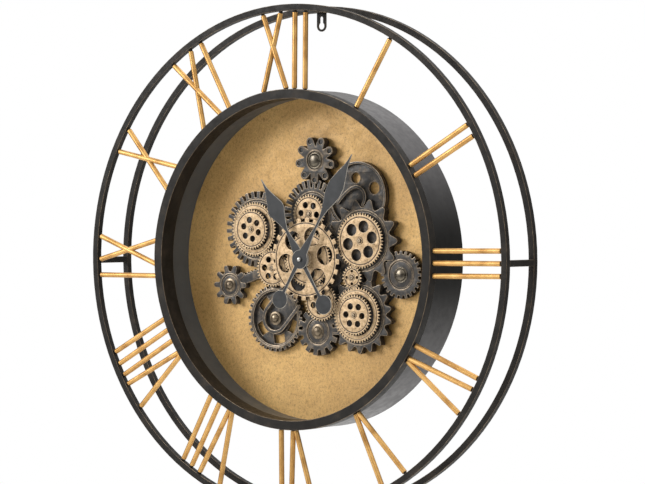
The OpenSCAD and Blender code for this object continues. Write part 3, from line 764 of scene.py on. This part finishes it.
def relief_gear(piece, outline, front, back, groove, holes, hole_r, centre, bore, hub, lip=0.9):
    """Gear plate whose front has a round groove inside the teeth, lips round its holes and a hub boss."""
    cut = [circle(hole_r, p, 40) for p in holes]
    base = front + RELIEF
    outer, inner = groove
    # The lower layer's face and walls take the dark groove paint, which is painted shade on the teeth's
    # lower walls and in their gaps.
    piece.plate(outline, base, back, [*cut, circle(bore)], centre, 0.2, face=2, wall=2, edge=2)
    piece.plate(outline, front, base + 0.3, [circle(outer)], centre, 0.22)
    piece.plate(circle(inner), front, base + 0.3, [*cut, circle(hub + 0.9)], centre, 0.22)
    for p in holes:
        at_hole = (centre[0] + p[0], centre[1] + p[1])
        piece.ring(hole_r + lip, hole_r, front - 0.25, base, at_hole, 0.2)
    return piece


def boss(piece, radius, bore, front, back, centre):
    """Hub boss with a step, round a bore."""
    piece.ring(radius, bore, front + 0.8, back, centre, 0.3, wall=2, edge=1)
    piece.ring(radius - 1.3, bore, front, front + 1.2, centre, 0.25, face=2, wall=2, edge=2)


def make_turning_gears(paints):
    def fine(name, body, at, teeth, phase, holes, hole_r, hole_at, first, line, hub_front=1.0):
        piece = Piece(f"{name}_cast", body, [name], "pale_gold", paints)
        groove = (line + 0.4, line - 1.4)
        relief_gear(piece, fine_outline(teeth, phase), LAYER_Y, LAYER_Y + GEAR_T, groove,
                    on_circle(holes, hole_at, first), hole_r, at, BORE, 5.2)
        boss(piece, 5.2, BORE, LAYER_Y - hub_front, LAYER_Y + GEAR_T + 2, at)
        piece.finish()

    fine("upper_gear", "upper_train", UPPER_AT, TEETH_SMALL, UPPER_PHASE, 6, 5.2, 15.2, 35, 26)
    fine("left_gear", "left_train", LEFT_AT, TEETH_SMALL, LEFT_PHASE, 6, 5.2, 15.2, -28, 26)
    fine("lower_gear", "lower_train", LOWER_AT, TEETH_SMALL, LOWER_PHASE, 6, 5.2, 15.2, 10, 26)
    fine("right_gear", "right_train", RIGHT_AT, TEETH_LARGE, RIGHT_PHASE, 6, 9.5, 23.2, 17, 37.5, 1.6)
    fine("idler_gear", "idler", IDLER_AT, TEETH_IDLER, IDLER_PHASE, 4, 2.7, 10, 0, 14)

    for side, body, at, phase, first in (
        ("left", "left_pair", LEFT_PAIR_AT, LEFT_PAIR_PHASE, 48),
        ("right", "right_pair", RIGHT_PAIR_AT, RIGHT_PAIR_PHASE, 33),
    ):
        rim_in = 32.5
        ring = Piece(f"{side}_ring_gear_cast", body, [f"{side}_ring_gear"], "pale_gold", paints)
        outline = fine_outline(TEETH_LARGE, phase)
        base = LAYER_Y + RELIEF
        # The lower layer's face and walls take the dark groove paint, which is painted shade on the teeth's
        # lower walls and in their gaps.
        ring.plate(outline, base, LAYER_Y + GEAR_T, [circle(rim_in)], at, 0.2, face=2, wall=2, edge=2)
        ring.plate(outline, LAYER_Y, base + 0.3, [circle(38.6)], at, 0.22)
        ring.ring(37.6, rim_in, LAYER_Y - 0.6, base + 0.3, at, 0.35)
        for spoke in (30, 150, 270):
            arm = turned([(-3, 7), (3, 7), (3, rim_in + 1), (-3, rim_in + 1)], spoke)
            ring.plate(arm, LAYER_Y + 2, LAYER_Y + GEAR_T, (), at, 0.3, face=2)
        ring.ring(8, BORE, LAYER_Y, LAYER_Y + GEAR_T, at)
        ring.finish()
        front = Piece(f"{side}_front_gear_cast", body, [f"{side}_front_gear"], "pale_gold", paints)
        relief_gear(front, fine_outline(TEETH_FRONT, 2), FRONT_Y, FRONT_Y + GEAR_T, (28, 26.2),
                    on_circle(6, 15.2, first), 5.2, at, BORE, 4.6)
        boss(front, 4.6, BORE, FRONT_Y - 1.5, FRONT_Y + GEAR_T, at)
        front.ring(8, BORE, FRONT_Y + GEAR_T - 0.2, LAYER_Y, at)
        front.finish()

    wheel = Piece("centre_wheel_cast", "centre_train", ["centre_wheel"], "pale_gold", paints)
    relief_gear(wheel, fine_outline(TEETH_LARGE, 0), LAYER_Y, LAYER_Y + GEAR_T, (38.2, 36.4),
                on_circle(6, 23.2, 50), 9.5, CENTRE, 6, 8)
    wheel.finish()
    coarse = Piece("centre_gear_cast", "centre_train", ["centre_gear"], "pale_gold", paints)
    outline = teeth_outline(24, 59, 65, 0.52, 0.46, 3)
    relief_gear(coarse, outline, COARSE_Y, COARSE_Y + GEAR_T, (58, 56),
                on_circle(6, 38, 20), 15, CENTRE, 6, 12, lip=1.3)
    coarse.ring(12, 6, COARSE_Y - 1, COARSE_Y + GEAR_T, CENTRE)
    coarse.finish()


# ---------------------------------------------------------------- dark gears

# Foremost face of the dark gears, and the face of the plate that carries them
DARK_Y, PLATE_Y = 14.5, 27.5
TOP_AT, CRESCENT_AT, EAST_AT = (8.5, 156), (88, 100), (170.5, -22.5)
BOTTOM_AT, WINDOW_AT, WEST_AT = (14.5, -114), (-71, -95), (-161, -43.5)
# Radius of the hole for the post of a turning gear in front
SHAFT_HOLE = 3.5
CRESCENT_R = 54


def dark_wheel(piece, outline, front, ring_r, centre, bore=0.0, step=1.0, wells=()):
    """Cast wheel: toothed rim, a raised ring and a sunk web. wells are hollows in the rim."""
    holes = [circle(bore)] if bore else []
    piece.plate(outline, front + step, PLATE_Y, holes, centre, 0.3, face=2)
    piece.plate(outline, front, front + step + 0.9, [circle(ring_r - 0.5), *wells], centre, 0.6)
    piece.ring(ring_r, ring_r - 2.2, front - 0.8, front + step + 0.5, centre, 0.8)
    inner = ring_r - 3.6
    piece.plate(circle(inner), front + 0.1, front + step + 0.5, holes, centre, 0.6)
    return piece


def make_dark_gears(paints):
    def start(name):
        return Piece(f"{name}_cast", "frame", [name], "dark_cast", paints)

    lobes = lobe_outline(9, 22, 38, 6.8, 22)
    wells = [circle(4.1, p, 24) for p in on_circle(9, 31.2, 22)]
    dark_wheel(start("dark_top"), lobes, DARK_Y, 17, TOP_AT, step=1.8, wells=wells).finish()
    from_comb = (CRESCENT_AT[0] - UPPER_AT[0], CRESCENT_AT[1] - UPPER_AT[1])
    comb = cut_back(teeth_outline(30, 41.5, 54.5, 0.6, 0.56, 4), from_comb, CRESCENT_R + 0.5)
    dark_wheel(start("dark_comb"), comb, DARK_Y + 2, 36, UPPER_AT, SHAFT_HOLE).finish()
    star = star_outline(14, 52, 65.5, 12.5)
    dark_wheel(start("dark_star"), star, DARK_Y, 49, RIGHT_AT, SHAFT_HOLE).finish()
    east = teeth_outline(24, 32.5, 37.5, 0.6, 0.5, 0)
    dark_wheel(start("dark_right"), east, DARK_Y + 3, 24.5, EAST_AT).finish()
    south = star_outline(18, 50.5, 61, 19.3)
    dark_wheel(start("dark_lower"), south, DARK_Y + 0.5, 48, RIGHT_PAIR_AT, SHAFT_HOLE).finish()
    bottom = teeth_outline(14, 29.5, 38.5, 0.62, 0.5, 8)
    dark_wheel(start("dark_bottom"), bottom, DARK_Y, 22.5, BOTTOM_AT).finish()
    north = teeth_outline(30, 51, 61, 0.6, 0.5, 3)
    dark_wheel(start("dark_upper"), north, DARK_Y + 1.5, 49, LEFT_PAIR_AT, SHAFT_HOLE).finish()
    make_crescent(start("dark_crescent"))
    make_window_wheel(start("dark_window"))
    make_west_wheel(start("dark_left"))


def make_crescent(piece):
    """Round plate with a raised rim, two holes with lips and a curled rib."""
    face = DARK_Y + 8
    rim = DARK_Y + 2.5
    eyes = [(-6, 28, 8.6), (29, 12, 9.8)]
    holes = [circle(r, (x, z), 40) for x, z, r in eyes]
    piece.plate(circle(CRESCENT_R), face, PLATE_Y, holes, CRESCENT_AT, 0.5)
    piece.ring(CRESCENT_R, CRESCENT_R - 4, rim, face + 0.5, CRESCENT_AT, 0.8)
    for x, z, r in eyes:
        piece.ring(r + 1.5, r, face - 0.5, face + 0.5, (CRESCENT_AT[0] + x, CRESCENT_AT[1] + z), 0.35)
    rib = smooth_path([(50, 88), (60, 99), (72, 109), (84, 114), (94, 112), (101, 104), (102, 94), (97, 84)])
    piece.plate(ribbon(rib, 5), rim, face + 0.5, (), (0, 0), 0.9)
    piece.finish()


def make_window_wheel(piece):
    """Toothed rim with four windows inside it, and a strap round its hub."""
    rim = DARK_Y + 2
    web = rim + 6
    window_angles = (112, 172, 240, 312)
    windows = [ring_sector(27, 40.5, a, 21) for a in window_angles]
    outline = teeth_outline(32, 49, 53.5, 0.6, 0.5, 0)
    piece.plate(outline, rim, PLATE_Y, [circle(43)], WINDOW_AT, 0.9)
    piece.ring(47.5, 45.3, rim - 0.9, rim + 0.9, WINDOW_AT, 0.8)
    piece.plate(circle(43.4), web, PLATE_Y, windows, WINDOW_AT, 0.4)
    for window, a in zip(windows, window_angles):
        lip = ring_sector(25.6, 41.9, a, 24)
        piece.plate(lip, web - 0.5, web + 0.4, [window], WINDOW_AT, 0.3)
    strap, inside, length = 25, 19, 46
    bend = [polar(strap, a) for a in range(270, 89, -12)]
    back = [polar(inside, a) for a in range(90, 271, 12)]
    outline = [(-strap, length), *bend, (strap, length), (inside, length), *back, (-inside, length)]
    piece.plate(turned(outline, 42), rim - 0.9, web + 0.5, (), WINDOW_AT, 0.9)
    piece.finish()


def make_west_wheel(piece):
    """Small wheel with a toothed arm that runs under the left gear."""
    arm_front = DARK_Y + 3
    dark_wheel(piece, lobe_outline(10, 22, 32.5, 4.2, 18.6), DARK_Y + 2, 19.5, WEST_AT)
    arm = [(7, 20), (7, 66), (-7, 66)]
    for i in range(5, -1, -1):
        arm += [(-7, 27 + 7 * i), (-10, 25 + 7 * i), (-7, 22 + 7 * i)]
    piece.plate(turned(arm, 72), arm_front, PLATE_Y, (), WEST_AT, 0.5)
    piece.finish()


def make_domes(bright, dark):
    """Domed caps on five of the dark gears, each on a stepped collar."""
    piece = Piece("dome_caps_cast", "frame", ["dome_caps"], "bronze", [bright, dark])
    for centre, base, radius, height, face in (
        (TOP_AT, DARK_Y, 12.9, 5, 1),
        (EAST_AT, DARK_Y + 3, 12.5, 5, 1),
        (BOTTOM_AT, DARK_Y, 12, 5, 0),
        (WINDOW_AT, DARK_Y + 3.5, 11, 6, 0),
        (WEST_AT, DARK_Y + 2, 11, 6, 0),
    ):
        crown = radius * (0.8 if face == 1 else 0.66)
        profile = [(0.02, base - height)]
        for k in range(80, -1, -10):
            a = math.radians(k)
            profile.append((crown * math.cos(a), base - 1.6 - (height - 1.6) * math.sin(a)))
        profile += [(crown + 1.2, base - 1.0), (radius - 0.8, base - 1.2)]
        profile += [(radius, base - 0.6), (radius, base + 1)]
        piece.lathe(profile, centre, face=face)
    piece.finish(50)


# ---------------------------------------------------------------- dressing the CAD nodes


def dress(names, main, edge=None, width=0.4):
    """Gives CAD nodes their finish. With an edge paint, their arrises are rounded off and wear it: rubbed
    wear with a painted highlight on the iron, a painted highlight on the hands.
    """
    for name in names:
        part = NODES[name]
        part.data.materials.clear()
        part.data.materials.append(main)
        if edge is None:
            continue
        part.data.materials.append(edge)
        weld = part.modifiers.new("weld", "WELD")
        weld.merge_threshold = 1e-6
        bevel = part.modifiers.new("arris", "BEVEL")
        bevel.width = width * MM
        bevel.segments = 2
        bevel.limit_method = "ANGLE"
        bevel.angle_limit = math.radians(35)
        bevel.use_clamp_overlap = False
        bevel.loop_slide = False
        bevel.material = 1
        normals = part.modifiers.new("normals", "WEIGHTED_NORMAL")
        normals.keep_sharp = False


def dress_all():
    iron, iron_wear_and_highlight = iron_paint(), iron_wear_and_highlight_paint()
    plastic, steel, brass = plastic_paint(), steel_paint(), brass_paint()
    hand, hand_edge_highlight = hand_paint(), hand_edge_highlight_paint()
    cast, bronze, pale_edge = cast_paint(), bronze_paint(), pale_edge_paint()
    dress(["front_ring", "rear_ring", "ring_spacers"], iron, iron_wear_and_highlight, 0.5)
    dress(["hanger_plate"], iron, iron_wear_and_highlight, 0.3)
    dress(["bezel"], iron, iron_wear_and_highlight, 0.7)
    dress(["dial_tabs"], iron, iron_wear_and_highlight, 0.3)
    dress(["drum_wall"], drum_paint())
    dress(["dial_liner"], liner_paint())
    dress(["dial_plate"], dial_paint())
    dress(["gear_backplate"], cast)
    # The hands' arrises take a painted highlight.
    dress(["hour_hand", "minute_hand"], hand, hand_edge_highlight, 0.7)
    dress(["hand_nut", "dial_screws", "centre_sleeve", "hour_tube", "minute_arbor"], steel)
    dress(["gear_posts", "drive_shaft"], bronze, pale_edge, 0.5)
    dress(["shaft_bush", "bush_nut"], brass)
    dress(["movement_case", "motor_case", "battery_box", "setting_knob"], plastic)
    dress(["battery_cells"], cell_paint())
    make_numerals(rod_paint(), iron)
    make_turning_gears([pale_paint(), pale_edge, groove_paint()])
    make_dark_gears([cast, cast_edge_paint(), cast_web_paint()])
    make_domes(bronze, dark_dome_paint())


make_camera()
make_surroundings()
make_lights()
make_floor()
dress_all()
